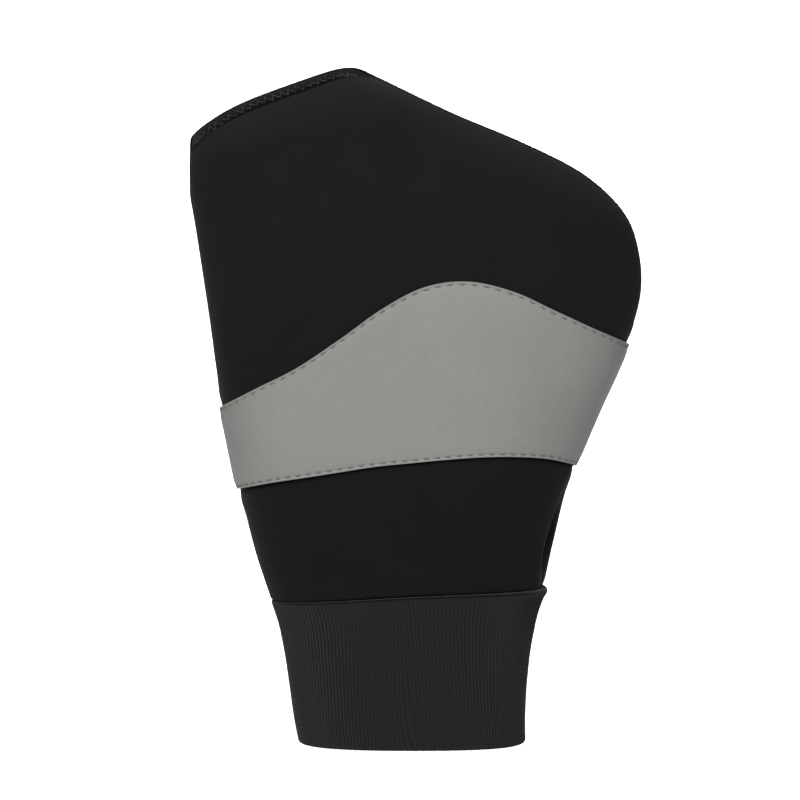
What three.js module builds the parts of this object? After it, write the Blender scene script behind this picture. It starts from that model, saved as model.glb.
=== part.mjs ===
// A padded mitt for paddle sports, worn over the fist that holds the paddle. The forearm goes in through the
// knitted cuff below, and the paddle's handle comes out of the slanted mouth at the upper left.
// Millimetres, +Z up, and the origin is the middle of the cuff's lower rim. The back of the hand faces -Y,
// and the palm faces +Y.
import * as THREE from "three";

// Driving sizes
const MITT_WIDTH = 155.5; // across the knuckle bulge
const SHELL_HEIGHT = 179; // from the cuff's seam, at the left, to the top of the mouth
const SHELL_DEPTH = 71; // from the back of the hand to the palm, where the shell is deepest
const SHELL_WALL = 3; // padded softshell cloth
const CUFF_HEIGHT = 49.5; // from the rim to the seam, at the left
const CUFF_WIDTH = 77.5; // at the rim
const CUFF_DEPTH = 57; // at the rim
const CUFF_WALL = 2.6; // rib knit, folded double
const CUFF_PUFF = 0.8; // how far the gathered top of the knit stands proud of the shell
const BAND_THICKNESS = 1.2; // coated synthetic leather
const BAND_TILT = 0.123; // how far the band falls towards the palm, for each millimetre of depth
const HEM_HEIGHT = 4; // the turned edge inside the mouth
const HEM_THICKNESS = 1.2;
const HEM_DROP = 0.5; // how far the hem lies below the edge of the mouth
const SEAM_FOLD = 3.2; // the deepest tuck of the side seam
const SEAM_FOLD_REACH = 0.14; // half the tuck's width, in radians round the section
const SEAM_GAP = 0.3; // clearance between neighbouring pieces

// How finely the cloth is worked out
const HALF_COLUMNS = 28; // round each half of a section
const ROWS_PER_SECTION = 2;
const CUFF_ROWS = 8;
const BAND_ROWS = 4;
const HEM_ROWS = 2;
const STEP = 0.02; // how far apart the points are, in turn or rise, that give a direction
const HALVINGS = 30; // how often a search halves its range
const SEAM_CROWDING = 0.5; // 0 spaces the columns evenly, and 1 draws them in to the side seams

// The shell's sections, from the cuff's seam up to the mouth. A section is a chord seen from the front, from
// its left end to its right end, that swells to the front and to the back.
// leftAcross and rightAcross: shares of MITT_WIDTH from the wrist's axis.
// leftUp and rightUp: shares of SHELL_HEIGHT above the seam.
// front and back: shares of SHELL_DEPTH.
// arch: how far the middle rises off the chord, a share of SHELL_HEIGHT.
// archLeft and archRight: how squarely the arch comes down to that end of the chord.
// leftSquare and rightSquare: 2 rounds that end as an ellipse, and more squares it.
// wander: how far the right side seam lies to the front of the edge, in radians.
// fold: how deep that seam is tucked, a share of SEAM_FOLD.
// notch: how far the section dips at the left side seam, a share of SHELL_HEIGHT.
const SHELL_SECTIONS = table(
  "leftAcross leftUp rightAcross rightUp front back arch archLeft archRight leftSquare rightSquare wander " +
    "fold notch",
  [
    [-0.312, -0.0045, 0.296, 0.0184, 0.4, 0.4, 0.0123, 1.6, 2.2, 2.3, 2.3, 0.11, 0.2, 0.0],
    [-0.346, 0.087, 0.3175, 0.109, 0.42, 0.44, 0.003, 2.0, 2.5, 2.4, 2.3, 0.19, 1.0, 0.0],
    [-0.3745, 0.19, 0.353, 0.225, 0.445, 0.48, 0.0, 3.0, 3.0, 2.7, 2.4, 0.08, 0.6, 0.0],
    [-0.4015, 0.304, 0.409, 0.355, 0.47, 0.51, 0.0, 5.0, 3.4, 2.9, 2.5, 0.0, 0.2, 0.0],
    [-0.4285, 0.419, 0.4675, 0.471, 0.485, 0.52, 0.0, 8.0, 3.4, 3.0, 2.5, 0.0, 0.1, 0.0],
    [-0.448, 0.539, 0.51, 0.583, 0.485, 0.51, 0.0, 8.0, 3.4, 3.0, 2.5, 0.0, 0.1, 0.0],
    [-0.468, 0.656, 0.507, 0.676, 0.47, 0.49, 0.001, 8.0, 3.4, 3.0, 2.4, 0.0, 0.1, 0.0],
    [-0.4815, 0.729, 0.4725, 0.748, 0.445, 0.46, 0.003, 8.0, 3.4, 2.9, 2.4, 0.0, 0.1, 0.0],
    [-0.4912, 0.776, 0.384, 0.818, 0.41, 0.42, 0.008, 8.0, 3.4, 2.8, 2.3, 0.0, 0.1, 0.0],
    [-0.4925, 0.81, 0.254, 0.876, 0.365, 0.37, 0.0155, 8.0, 3.4, 2.7, 2.3, 0.0, 0.1, 0.0],
    [-0.492, 0.832, 0.106, 0.93, 0.31, 0.31, 0.024, 7.0, 3.8, 3.0, 2.5, 0.0, 0.1, 0.0],
    [-0.4915, 0.848, -0.007, 0.976, 0.262, 0.262, 0.0315, 5.0, 5.0, 3.8, 2.6, 0.0, 0.1, 0.0],
    [-0.491, 0.888, -0.0955, 1.0125, 0.222, 0.222, 0.0266, 2.6, 8.0, 5.0, 2.6, 0.0, 0.1, 0.0253],
  ],
);

// The cuff's outline, from the rim up to just below the seam, where it goes over to the shell's first
// section.
// up: a share of the height of the seam there.
// left and right: shares of CUFF_WIDTH from the axis.
// deep: half the depth as a share of CUFF_DEPTH.
// square: 2 is an ellipse, and more is squarer.
const CUFF_SECTIONS = table("up left right deep square", [
  [0.0, -0.501, 0.506, 0.5, 2.7],
  [0.17, -0.522, 0.504, 0.5, 2.6],
  [0.38, -0.54, 0.51, 0.501, 2.5],
  [0.6, -0.559, 0.526, 0.503, 2.4],
  [0.8, -0.583, 0.553, 0.506, 2.3],
  [0.91, -0.604, 0.578, 0.508, 2.3],
]);

// The edges of the band over the back of the hand, in even steps across a section from its left end to its
// right. Over the palm both edges run straight from side to side.
// top and foot: shares of SHELL_HEIGHT above the seam, to which BAND_TILT is added.
const BAND_EDGES = table("top foot", [
  [0.369, 0.21],
  [0.406, 0.222],
  [0.445, 0.232],
  [0.499, 0.2425],
  [0.5575, 0.253],
  [0.5995, 0.26],
  [0.611, 0.2665],
  [0.592, 0.2715],
  [0.554, 0.2725],
  [0.52, 0.2685],
  [0.492, 0.2555],
]);

// Rows of numbers as objects with named columns.
function table(columns, rows) {
  const names = columns.split(" ");
  return rows.map((row) => Object.fromEntries(names.map((name, i) => [name, row[i]])));
}

// A column of a table as a smooth curve through its rows, with share 0 at the first row and 1 at the last.
function along(rows, column, share) {
  const last = rows.length - 1;
  const place = THREE.MathUtils.clamp(share, 0, 1) * last;
  const i = Math.min(Math.floor(place), last - 1);
  const at = (k) => rows[THREE.MathUtils.clamp(k, 0, last)][column];
  const before = i > 0 ? at(i - 1) : 2 * at(i) - at(i + 1);
  const after = i + 2 <= last ? at(i + 2) : 2 * at(i + 1) - at(i);
  const t = place - i;
  const slopeIn = (at(i + 1) - before) / 2;
  const slopeOut = (after - at(i)) / 2;
  const rise = at(i + 1) - at(i);
  const bend = 3 * rise - 2 * slopeIn - slopeOut;
  const turnBack = slopeIn + slopeOut - 2 * rise;
  return at(i) + t * (slopeIn + t * (bend + t * turnBack));
}

// Where in a rounded section an angle falls: x from -1 at the left to 1 at the right, and y from -1 to 1.
function roundedSection(angle, leftSquare, rightSquare) {
  const c = Math.cos(angle);
  const s = Math.sin(angle);
  const power = 2 / (c < 0 ? leftSquare : rightSquare);
  return { x: Math.sign(c) * Math.abs(c) ** power, y: Math.sign(s) * Math.abs(s) ** power };
}

// The angle in the section of a column: turn is 0 at the right side seam, and grows over the palm to the
// left.
function columnAngle(turn, wander) {
  return turn - (wander * (1 + Math.cos(turn))) / 2;
}

// How far round from the right side seam a column is, in radians.
function fromRightSeam(turn) {
  return Math.acos(Math.cos(turn));
}

// A point of the shell's smooth outer face, with no tuck at the side seam. rise is 0 at the cuff and 1 at the
// mouth.
function smoothShell(turn, rise) {
  const row = (column) => along(SHELL_SECTIONS, column, rise);
  const left = new THREE.Vector2(row("leftAcross") * MITT_WIDTH, row("leftUp") * SHELL_HEIGHT);
  const right = new THREE.Vector2(row("rightAcross") * MITT_WIDTH, row("rightUp") * SHELL_HEIGHT);
  const angle = columnAngle(turn, row("wander"));
  const place = roundedSection(angle, row("leftSquare"), row("rightSquare"));
  const arched = 1 - Math.abs(place.x) ** (place.x < 0 ? row("archLeft") : row("archRight"));
  const notched = place.x < 0 ? (1 - Math.abs(place.y)) ** 2 * row("notch") * SHELL_HEIGHT : 0;
  const chord = right.clone().sub(left);
  const upright = new THREE.Vector2(-chord.y, chord.x).normalize();
  const onChord = left.addScaledVector(chord, (1 + place.x) / 2);
  onChord.addScaledVector(upright, arched * row("arch") * SHELL_HEIGHT);
  const deep = (place.y < 0 ? row("front") : row("back")) * SHELL_DEPTH;
  return new THREE.Vector3(onChord.x, place.y * deep, CUFF_HEIGHT + onChord.y - notched);
}

// The direction round a face that is given as a function of turn and rise, towards greater turns.
function roundwards(face, turn, rise) {
  return face(turn + STEP, rise).sub(face(turn - STEP, rise)).normalize();
}

// The outward direction of a face that is given as a function of turn and rise.
function outward(face, turn, rise) {
  const up = face(turn, Math.min(rise + STEP, 1)).sub(face(turn, Math.max(rise - STEP, 0)));
  return roundwards(face, turn, rise).cross(up).normalize();
}

// A point at a depth under a face: 0 is the face itself, and less than 0 is outside it. The knit, and the
// shell's edge on it, are cut level.
function under(face, turn, rise, depth) {
  const direction = outward(face, turn, rise);
  if (rise === 0 || face === cuffFace) direction.setZ(0).normalize();
  return face(turn, rise).addScaledVector(direction, -depth);
}

// The shell's outer face, with the right side seam tucked in.
function shellFace(turn, rise) {
  const closeness = Math.exp(-((fromRightSeam(turn) / SEAM_FOLD_REACH) ** 2));
  const tuck = closeness * along(SHELL_SECTIONS, "fold", rise) * SEAM_FOLD;
  return under(smoothShell, turn, rise, tuck);
}

// The height of the cuff's seam round the wrist.
function seamHeight(turn) {
  return smoothShell(turn, 0).z - SEAM_GAP;
}

// The cuff's outer face. Its top takes the shell's first section, and stands a little proud of it at the
// right.
function cuffFace(turn, rise) {
  const top = SHELL_SECTIONS[0];
  const topDeep = (Math.sin(turn) < 0 ? top.front : top.back) * SHELL_DEPTH + CUFF_PUFF;
  const topRow = {
    up: 1,
    left: (top.leftAcross * MITT_WIDTH) / CUFF_WIDTH,
    right: (top.rightAcross * MITT_WIDTH + CUFF_PUFF) / CUFF_WIDTH,
    deep: topDeep / CUFF_DEPTH,
    square: top.leftSquare,
  };
  const rows = [...CUFF_SECTIONS, topRow];
  const row = (column) => along(rows, column, rise);
  const place = roundedSection(columnAngle(turn, rise * top.wander), row("square"), row("square"));
  const across = (row("left") + ((1 + place.x) / 2) * (row("right") - row("left"))) * CUFF_WIDTH;
  return new THREE.Vector3(across, place.y * row("deep") * CUFF_DEPTH, row("up") * seamHeight(turn));
}

// The share at which a function that grows with the share passes 0.
function solve(grows) {
  let low = 0;
  let high = 1;
  for (let i = 0; i < HALVINGS; i++) {
    const middle = (low + high) / 2;
    if (grows(middle) < 0) low = middle;
    else high = middle;
  }
  return (low + high) / 2;
}

// Where on the shell an edge of the band crosses a column, as a rise.
function bandRise(turn, edge) {
  const first = BAND_EDGES[0][edge];
  const last = BAND_EDGES[BAND_EDGES.length - 1][edge];
  return solve((rise) => {
    const row = (column) => along(SHELL_SECTIONS, column, rise);
    const angle = columnAngle(turn, row("wander"));
    const share = (1 + roundedSection(angle, row("leftSquare"), row("rightSquare")).x) / 2;
    const level = Math.sin(angle) < 0 ? along(BAND_EDGES, edge, share) : first + share * (last - first);
    const point = smoothShell(turn, rise);
    return point.z + point.y * BAND_TILT - CUFF_HEIGHT - level * SHELL_HEIGHT;
  });
}

// The rise that is a distance below the edge of the mouth on a column.
function belowMouth(turn, distance) {
  const edge = smoothShell(turn, 1);
  return solve((rise) => distance - smoothShell(turn, rise).distanceTo(edge));
}

// The columns of half a section, from one side seam to the other.
function halfColumns(from) {
  return Array.from({ length: HALF_COLUMNS + 1 }, (_, i) => {
    const even = i / HALF_COLUMNS;
    return from + Math.PI * (even - (SEAM_CROWDING * Math.sin(2 * Math.PI * even)) / (2 * Math.PI));
  });
}

// The columns of a whole section, which closes on itself.
function ringColumns() {
  return [...halfColumns(0).slice(0, -1), ...halfColumns(Math.PI).slice(0, -1)];
}

// A closed wall between an outer and an inner grid of points. A ring closes on itself, and a panel has two
// side edges.
function wallGeometry(outer, inner, ring) {
  const rows = outer.length;
  const columns = outer[0].length;
  const points = [...outer.flat(), ...inner.flat()];
  const out = (r, c) => r * columns + (c % columns);
  const inn = (r, c) => rows * columns + out(r, c);
  const faces = [];
  const quad = (a, b, c, d) => faces.push(a, b, c, a, c, d);
  const steps = ring ? columns : columns - 1;
  for (let c = 0; c < steps; c++) {
    for (let r = 0; r < rows - 1; r++) {
      quad(out(r, c), out(r, c + 1), out(r + 1, c + 1), out(r + 1, c));
      quad(inn(r, c + 1), inn(r, c), inn(r + 1, c), inn(r + 1, c + 1));
    }
    quad(inn(0, c), inn(0, c + 1), out(0, c + 1), out(0, c));
    quad(out(rows - 1, c), out(rows - 1, c + 1), inn(rows - 1, c + 1), inn(rows - 1, c));
  }
  for (let r = 0; r < rows - 1 && !ring; r++) {
    quad(inn(r, 0), out(r, 0), out(r + 1, 0), inn(r + 1, 0));
    quad(out(r, columns - 1), inn(r, columns - 1), inn(r + 1, columns - 1), out(r + 1, columns - 1));
  }
  const geometry = new THREE.BufferGeometry().setFromPoints(points);
  geometry.setIndex(faces);
  geometry.computeVertexNormals();
  return geometry;
}

// Even shares from 0 to 1.
function shares(steps) {
  return Array.from({ length: steps + 1 }, (_, i) => i / steps);
}

// Half of the shell, from the side seam at one turn to the other. Its side edges stop short of the seams.
function panelGeometry(from) {
  const turns = halfColumns(from);
  const rises = shares((SHELL_SECTIONS.length - 1) * ROWS_PER_SECTION);
  const grid = (depth) =>
    rises.map((rise) =>
      turns.map((turn, i) => {
        const point = under(shellFace, turn, rise, depth);
        const side = (i === 0) - (i === turns.length - 1);
        return point.addScaledVector(roundwards(shellFace, turn, rise), (side * SEAM_GAP) / 2);
      }),
    );
  return wallGeometry(grid(0), grid(SHELL_WALL), false);
}

// A ring that lies over or under a face, between two depths, from one rise to another on each column.
function ringGeometry(face, fromRise, toRise, rows, outerDepth, innerDepth) {
  const grid = (depth) =>
    shares(rows).map((share) =>
      ringColumns().map((turn) => {
        const low = fromRise(turn);
        return under(face, turn, low + share * (toRise(turn) - low), depth);
      }),
    );
  return wallGeometry(grid(outerDepth), grid(innerDepth), true);
}

const softshell = new THREE.MeshStandardMaterial({ color: 0x1b1b1c, roughness: 0.85, metalness: 0 });
const ribKnit = new THREE.MeshStandardMaterial({ color: 0x29282a, roughness: 0.95, metalness: 0 });
const greyLeather = new THREE.MeshStandardMaterial({ color: 0x93918e, roughness: 0.6, metalness: 0 });
const hemTape = new THREE.MeshStandardMaterial({ color: 0x151516, roughness: 0.9, metalness: 0 });

function piece(name, geometry, material) {
  const mesh = new THREE.Mesh(geometry, material);
  mesh.name = name;
  return mesh;
}

const mitt = new THREE.Group();
mitt.add(piece("back_hand_panel", panelGeometry(Math.PI), softshell));
mitt.add(piece("palm_panel", panelGeometry(0), softshell));
mitt.add(
  piece(
    "knit_cuff",
    ringGeometry(cuffFace, () => 0, () => 1, CUFF_ROWS, 0, CUFF_WALL),
    ribKnit,
  ),
);
mitt.add(
  piece(
    "knuckle_band",
    ringGeometry(
      shellFace,
      (turn) => bandRise(turn, "foot"),
      (turn) => bandRise(turn, "top"),
      BAND_ROWS,
      -SEAM_GAP - BAND_THICKNESS,
      -SEAM_GAP,
    ),
    greyLeather,
  ),
);
mitt.add(
  piece(
    "mouth_hem",
    ringGeometry(
      shellFace,
      (turn) => belowMouth(turn, HEM_DROP + HEM_HEIGHT),
      (turn) => belowMouth(turn, HEM_DROP),
      HEM_ROWS,
      SHELL_WALL + SEAM_GAP,
      SHELL_WALL + SEAM_GAP + HEM_THICKNESS,
    ),
    hemTape,
  ),
);

export default mitt;
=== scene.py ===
import math

import bpy
import numpy as np
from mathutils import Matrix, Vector


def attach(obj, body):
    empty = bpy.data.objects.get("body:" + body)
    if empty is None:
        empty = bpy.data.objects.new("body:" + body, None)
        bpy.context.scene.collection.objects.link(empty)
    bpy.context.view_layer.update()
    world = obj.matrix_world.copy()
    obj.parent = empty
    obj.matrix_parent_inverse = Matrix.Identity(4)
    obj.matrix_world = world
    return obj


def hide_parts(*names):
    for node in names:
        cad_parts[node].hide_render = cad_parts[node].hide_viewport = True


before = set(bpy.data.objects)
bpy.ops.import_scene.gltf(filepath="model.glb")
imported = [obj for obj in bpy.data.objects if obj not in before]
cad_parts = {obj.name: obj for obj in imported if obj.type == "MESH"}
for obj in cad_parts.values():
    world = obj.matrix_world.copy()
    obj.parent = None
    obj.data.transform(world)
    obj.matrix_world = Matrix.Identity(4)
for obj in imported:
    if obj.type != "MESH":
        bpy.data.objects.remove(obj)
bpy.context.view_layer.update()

# Driving sizes of the frame, in metres
MITT_WIDTH = 0.1555
SHELL_HEIGHT = 0.179
SHELL_DEPTH = 0.071
SHELL_WALL = 0.003
CUFF_HEIGHT = 0.0495
CUFF_WIDTH = 0.0775
CUFF_DEPTH = 0.057
CUFF_WALL = 0.0026
CUFF_PUFF = 0.0008  # how far the top of the knit stands proud of the shell
BAND_THICKNESS = 0.0012
BAND_TILT = 0.123  # how far the band falls towards the palm, for each metre of depth
SEAM_FOLD = 0.0032  # the deepest tuck of the right side seam
SEAM_FOLD_REACH = 0.14  # in radians round the section
SEAM_GAP = 0.0003

ON_EDGE = 1e-7  # a point that is nearer than this to an edge lies on it

# The panels of the shell, in metres
SIDE_ROLL = 0.0013  # radius of a panel's edge along the side seams, where the two edges touch
SEAM_ROLL = 0.001  # and along the cuff's seam
SEAM_PINCH = 0.0005  # how far the cuff's seam draws the shell in
SEAM_PINCH_REACH = 0.0022
TUCK_SHADE = 0.75  # how dark the painted shade on the palm's cloth gets in the tuck of the right side seam
TUCK_SHADE_REACH = 0.24  # in radians round the section
BAND_PINCH = 0.0003  # how far the band draws the cloth in along its lower edge
BAND_PINCH_REACH = 0.0011
BAND_SHADE_AT = 0.0005  # from that edge, the darkest line of the painted shadow on the cloth under it
BAND_SHADE_REACH = 0.0009
BAND_FOOT_FROM, BAND_FOOT_TO = 0.175, 0.305  # the shares of the shell between which that edge runs
BAND_SWELL = 0.0004  # how far the padding swells beside the band
BAND_SWELL_AT = 0.0045  # from the band's edge
BAND_SWELL_REACH = 0.0035

# The mouth of the shell, in metres
MOUTH_WALL = 0.0018  # the cloth is thinner at its fold round the mouth
MOUTH_TAPER = 0.01  # over this distance from the edge
MOUTH_DIP = 0.0009  # how much lower the mouth is cut at the front
MOUTH_DIP_POWER = 30  # the greater it is, the closer to the edge that cut begins
NOTCH_FORWARD = 0.3  # how far to the front the dip at the mouth's left end lies, where 1 is the whole front
MOUTH_LINING = 0.0036  # how far the outer cloth goes in at the mouth
LINING_BLEND = 0.0005  # over this distance the lining takes its place, whose near-black colour is partly painted shade deep in the mouth
RIM_SHADE = 0.9  # how dark the painted shade on the fold round the mouth is on its very edge
RIM_SHADE_REACH = 0.0006
RIM_SHADE_GROWTH = 2.5  # how much further that goes in the corners of the mouth

# The band and its stitches, in metres
BAND_SEAT = 0.0001  # clearance between the shell and the band
BAND_EDGE_ROLL = 0.00035
BAND_CROWN = 0.00025  # how far the band stands proud between its stitch lines
BAND_CROWN_REACH = 0.004  # over this distance from its edges
BAND_RELIEF_LOW, BAND_RELIEF_HIGH = -0.0001, 0.0002  # how far the stiff band follows the cloth's relief
STITCH_INSET = 0.0011  # from the band's edge to its stitch line
STITCH_PITCH = {"top": 0.0042, "foot": 0.00375}
STITCH_LENGTH = 0.0013
STITCH_SINK = 0.00016  # depth of the stitch line's groove
STITCH_SINK_REACH = 0.0004
STITCH_ROWS = [0.00068, 0.00085, 0.001, 0.00115, 0.0013, 0.0016, 0.0021]  # grid rows beside that line
HOLE_SINK = 0.0003  # depth of the needle's holes in the groove
HOLE_REACH = 0.0003
BAND_THREAD = 0.0002  # radius
THREAD_LIFT = 0.00012  # how far the middle of a stitch stands over the groove
THREAD_DIVE = 0.00042  # and how far its ends go down from there

# The turned edge inside the mouth and its zigzag, in metres
HEM_HEIGHT = 0.0031
HEM_DROP = 0.0004  # from the edge of the mouth
HEM_TAPE = 0.0005  # thickness
HEM_SHADE = 0.5  # how dark the painted shade on its foot is, where the corners of the mouth count as 1
HEM_SHADE_FROM, HEM_SHADE_TO = 0.0008, 0.0026  # between these depths the painted shade comes in
CORNER_REACH_LEFT, CORNER_REACH_RIGHT = 0.16, 0.36  # how far the painted shade in the corners of the mouth reaches, in radians round the section
ZIGZAG_TOP = 0.0008  # from the edge of the mouth to the zigzag's upper points
ZIGZAG_HEIGHT = 0.0023
ZIGZAG_STEP = 0.0014
ZIGZAG_THREAD = 0.00015  # radius
ZIGZAG_PROUD = 0.00008  # from the strip to the middle of the thread
ZIGZAG_SINK = 0.0001  # how much deeper it lies at its points
ZIGZAG_UNEVEN = 0.00015  # how far its points miss their lines
ZIGZAG_BEAT = 2.3  # how fast that comes and goes, in radians for each stroke

# The knitted cuff, in metres
RIBS = 180
RIB_RELIEF = 0.00045
RIB_POWER = 0.65  # below 1, the ribs are broader than the grooves between them
RIB_PRESS = 0.7  # the share of their relief that the seam presses flat
RIB_INSIDE = 0.5  # the share of their relief that shows inside
SEAM_ROWS = [  # the rows of its grid next to the seam
    0.0046, 0.004, 0.0034, 0.0028, 0.0023, 0.0018, 0.0014,
    0.00105, 0.00075, 0.0005, 0.0003, 0.00015, 0.00005, 0.0,
]
SEAM_SHADE = 0.0015  # painted shade darkens the knit over this distance where it is tucked into the seam
CUFF_TOP_ROLL = 0.0009
CUFF_TOP_HEIGHT = 0.0028  # the gathered top of the knit, just under the seam
CUFF_TOP_BULGE = 0.00045
CUFF_TOP_BULGE_AT, CUFF_TOP_BULGE_REACH = 0.6, 0.8  # in shares of that height
CUFF_RIM_ROLL = 0.0008
CUFF_RIM_DROP = 0.0006  # how far the folded rim hangs below the frame's floor

# Slow waves, each with its size, how often it goes round, how far the way up turns it, and where it starts.
# The way up is the rise on the shell, and metres on the cuff.
CLOTH_WAVES = [(0.0002, 2, 9, 0), (0.00014, 5, -7, 1), (0.0001, 9, 16, 2)]  # of the padding, in metres
CUFF_WAVES = [(0.0003, 6, 0, 0), (0.00018, 11, 40, 0)]  # of the knit, in metres
RIB_WAVES = [(0.12, 7, 60, 0)]  # of the lines of the ribs, in ribs

PAINTED_LIGHT_FROM, PAINTED_LIGHT_TO = 0.05, 0.2  # painted light: the black cloth is a little paler towards the top, between these heights
RIM_PAINTED_LIGHT = 0.03  # and paler still over this much below the mouth, a painted highlight
KNIT_SLANT = 2.4  # how steep the V of a knit stitch is, in radians of the stitch's height

# The camera's frame in the photograph, in its pixels, and the size of one of them at the mitt
PHOTO_SIDE = 800
AXIS_COLUMN = 411.5
RIM_ROW = 739
PIXEL = 0.000345
CAMERA_ELEVATION = math.radians(7)
CAMERA_DISTANCE = 8
FLOOR_DROP = 0.06


def table(columns, rows):
    """Rows of numbers as arrays with named columns."""
    return dict(zip(columns.split(), np.array(rows, float).T))


# The shell's sections, from the cuff's seam up to the mouth, as shares of the driving sizes
SHELL_SECTIONS = table(
    "left_across left_up right_across right_up front back arch arch_left arch_right left_square right_square"
    " wander fold notch",
    [
        [-0.312, -0.0045, 0.296, 0.0184, 0.4, 0.4, 0.0123, 1.6, 2.2, 2.3, 2.3, 0.11, 0.2, 0.0],
        [-0.346, 0.087, 0.3175, 0.109, 0.42, 0.44, 0.003, 2.0, 2.5, 2.4, 2.3, 0.19, 1.0, 0.0],
        [-0.3745, 0.19, 0.353, 0.225, 0.445, 0.48, 0.0, 3.0, 3.0, 2.7, 2.4, 0.08, 0.6, 0.0],
        [-0.4015, 0.304, 0.409, 0.355, 0.47, 0.51, 0.0, 5.0, 3.4, 2.9, 2.5, 0.0, 0.2, 0.0],
        [-0.4285, 0.419, 0.4675, 0.471, 0.485, 0.52, 0.0, 8.0, 3.4, 3.0, 2.5, 0.0, 0.1, 0.0],
        [-0.448, 0.539, 0.51, 0.583, 0.485, 0.51, 0.0, 8.0, 3.4, 3.0, 2.5, 0.0, 0.1, 0.0],
        [-0.468, 0.656, 0.507, 0.676, 0.47, 0.49, 0.001, 8.0, 3.4, 3.0, 2.4, 0.0, 0.1, 0.0],
        [-0.4815, 0.729, 0.4725, 0.748, 0.445, 0.46, 0.003, 8.0, 3.4, 2.9, 2.4, 0.0, 0.1, 0.0],
        [-0.4912, 0.776, 0.384, 0.818, 0.41, 0.42, 0.008, 8.0, 3.4, 2.8, 2.3, 0.0, 0.1, 0.0],
        [-0.4925, 0.81, 0.254, 0.876, 0.365, 0.37, 0.0155, 8.0, 3.4, 2.7, 2.3, 0.0, 0.1, 0.0],
        [-0.492, 0.832, 0.106, 0.93, 0.31, 0.31, 0.024, 7.0, 3.8, 3.0, 2.5, 0.0, 0.1, 0.0],
        [-0.4915, 0.848, -0.007, 0.976, 0.262, 0.262, 0.0315, 5.0, 5.0, 3.8, 2.6, 0.0, 0.1, 0.0],
        [-0.491, 0.888, -0.0955, 1.0125, 0.222, 0.222, 0.0266, 2.6, 8.0, 5.0, 2.6, 0.0, 0.1, 0.0253],
    ],
)

# The cuff's seam, from the foot of the shell
SEAM_LEFT = SHELL_SECTIONS["left_across"][0] * MITT_WIDTH
SEAM_RIGHT = SHELL_SECTIONS["right_across"][0] * MITT_WIDTH + CUFF_PUFF
SEAM_DEEP = SHELL_SECTIONS["front"][0] * SHELL_DEPTH + CUFF_PUFF

# The cuff's outline, from the rim up, as shares of its width, its depth and the height of its seam
CUFF_SECTIONS = table(
    "up left right deep square",
    [
        [0.0, -0.501, 0.506, 0.5, 2.7],
        [0.17, -0.522, 0.504, 0.5, 2.6],
        [0.38, -0.54, 0.51, 0.501, 2.5],
        [0.6, -0.559, 0.526, 0.503, 2.4],
        [0.8, -0.583, 0.553, 0.506, 2.3],
        [0.91, -0.604, 0.578, 0.508, 2.3],
        [1.0, SEAM_LEFT / CUFF_WIDTH, SEAM_RIGHT / CUFF_WIDTH, SEAM_DEEP / CUFF_DEPTH, 2.3],
    ],
)

# The band's edges over the back of the hand, from left to right, as shares of the shell's height
BAND_EDGES = table(
    "top foot",
    [
        [0.369, 0.21],
        [0.406, 0.222],
        [0.445, 0.232],
        [0.499, 0.2425],
        [0.5575, 0.253],
        [0.5995, 0.26],
        [0.611, 0.2665],
        [0.592, 0.2715],
        [0.554, 0.2725],
        [0.52, 0.2685],
        [0.492, 0.2555],
    ],
)


def curve(column, share):
    """A column as a smooth curve through its rows. share is 0 at the first row and 1 at the last."""
    first, last = 2 * column[0] - column[1], 2 * column[-1] - column[-2]
    padded = np.concatenate([[first], column, [last]])
    place = np.clip(share, 0, 1) * (len(column) - 1)
    i = np.minimum(place.astype(int), len(column) - 2)
    t = place - i
    before, here, there, after = (padded[i + k] for k in range(4))
    slope_in, slope_out, rise = (there - before) / 2, (after - here) / 2, there - here
    square = 3 * rise - 2 * slope_in - slope_out
    cube = slope_in + slope_out - 2 * rise
    return here + t * (slope_in + t * (square + t * cube))


def rounded_section(angle, left_square, right_square):
    """Where in a rounded section an angle falls: x and y, each from -1 to 1."""
    c, s = np.cos(angle), np.sin(angle)
    power = 2 / np.where(c < 0, left_square, right_square)
    return np.sign(c) * np.abs(c) ** power, np.sign(s) * np.abs(s) ** power


def column_angle(turn, wander):
    """A column's angle in the section. turn is 0 at the right side seam, and grows over the palm."""
    return turn - wander * (1 + np.cos(turn)) / 2


def section_row(rise):
    """All the columns of the shell's table at a rise."""
    return {name: curve(column, rise) for name, column in SHELL_SECTIONS.items()}


def smooth_shell(turn, rise):
    """Points of the shell's smooth outer face. rise is 0 at the cuff and 1 at the mouth, whose edge dips at
    the left side seam."""
    turn, rise = np.broadcast_arrays(np.asarray(turn, float), np.asarray(rise, float))
    row = section_row(rise)
    x, y = rounded_section(column_angle(turn, row["wander"]), row["left_square"], row["right_square"])
    left_x, left_z = row["left_across"] * MITT_WIDTH, row["left_up"] * SHELL_HEIGHT
    chord_x, chord_z = row["right_across"] * MITT_WIDTH - left_x, row["right_up"] * SHELL_HEIGHT - left_z
    arch_power = np.where(x < 0, row["arch_left"], row["arch_right"])
    arched = (1 - np.abs(x) ** arch_power) * row["arch"] * SHELL_HEIGHT
    from_notch = np.minimum(np.abs(y + NOTCH_FORWARD), 1)
    notched = np.where(x < 0, x * x * (1 - from_notch) ** 2, 0) * row["notch"] * SHELL_HEIGHT
    notched += np.where(y < 0, -y, 0) * MOUTH_DIP * rise**MOUTH_DIP_POWER
    length = np.hypot(chord_x, chord_z)
    share = (1 + x) / 2
    return np.stack(
        [
            left_x + chord_x * share - chord_z / length * arched,
            y * np.where(y < 0, row["front"], row["back"]) * SHELL_DEPTH,
            CUFF_HEIGHT + left_z + chord_z * share + chord_x / length * arched - notched,
        ],
        axis=-1,
    )


def unit(vectors):
    """Vectors brought to length 1."""
    return vectors / np.maximum(np.linalg.norm(vectors, axis=-1, keepdims=True), 1e-12)


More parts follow.
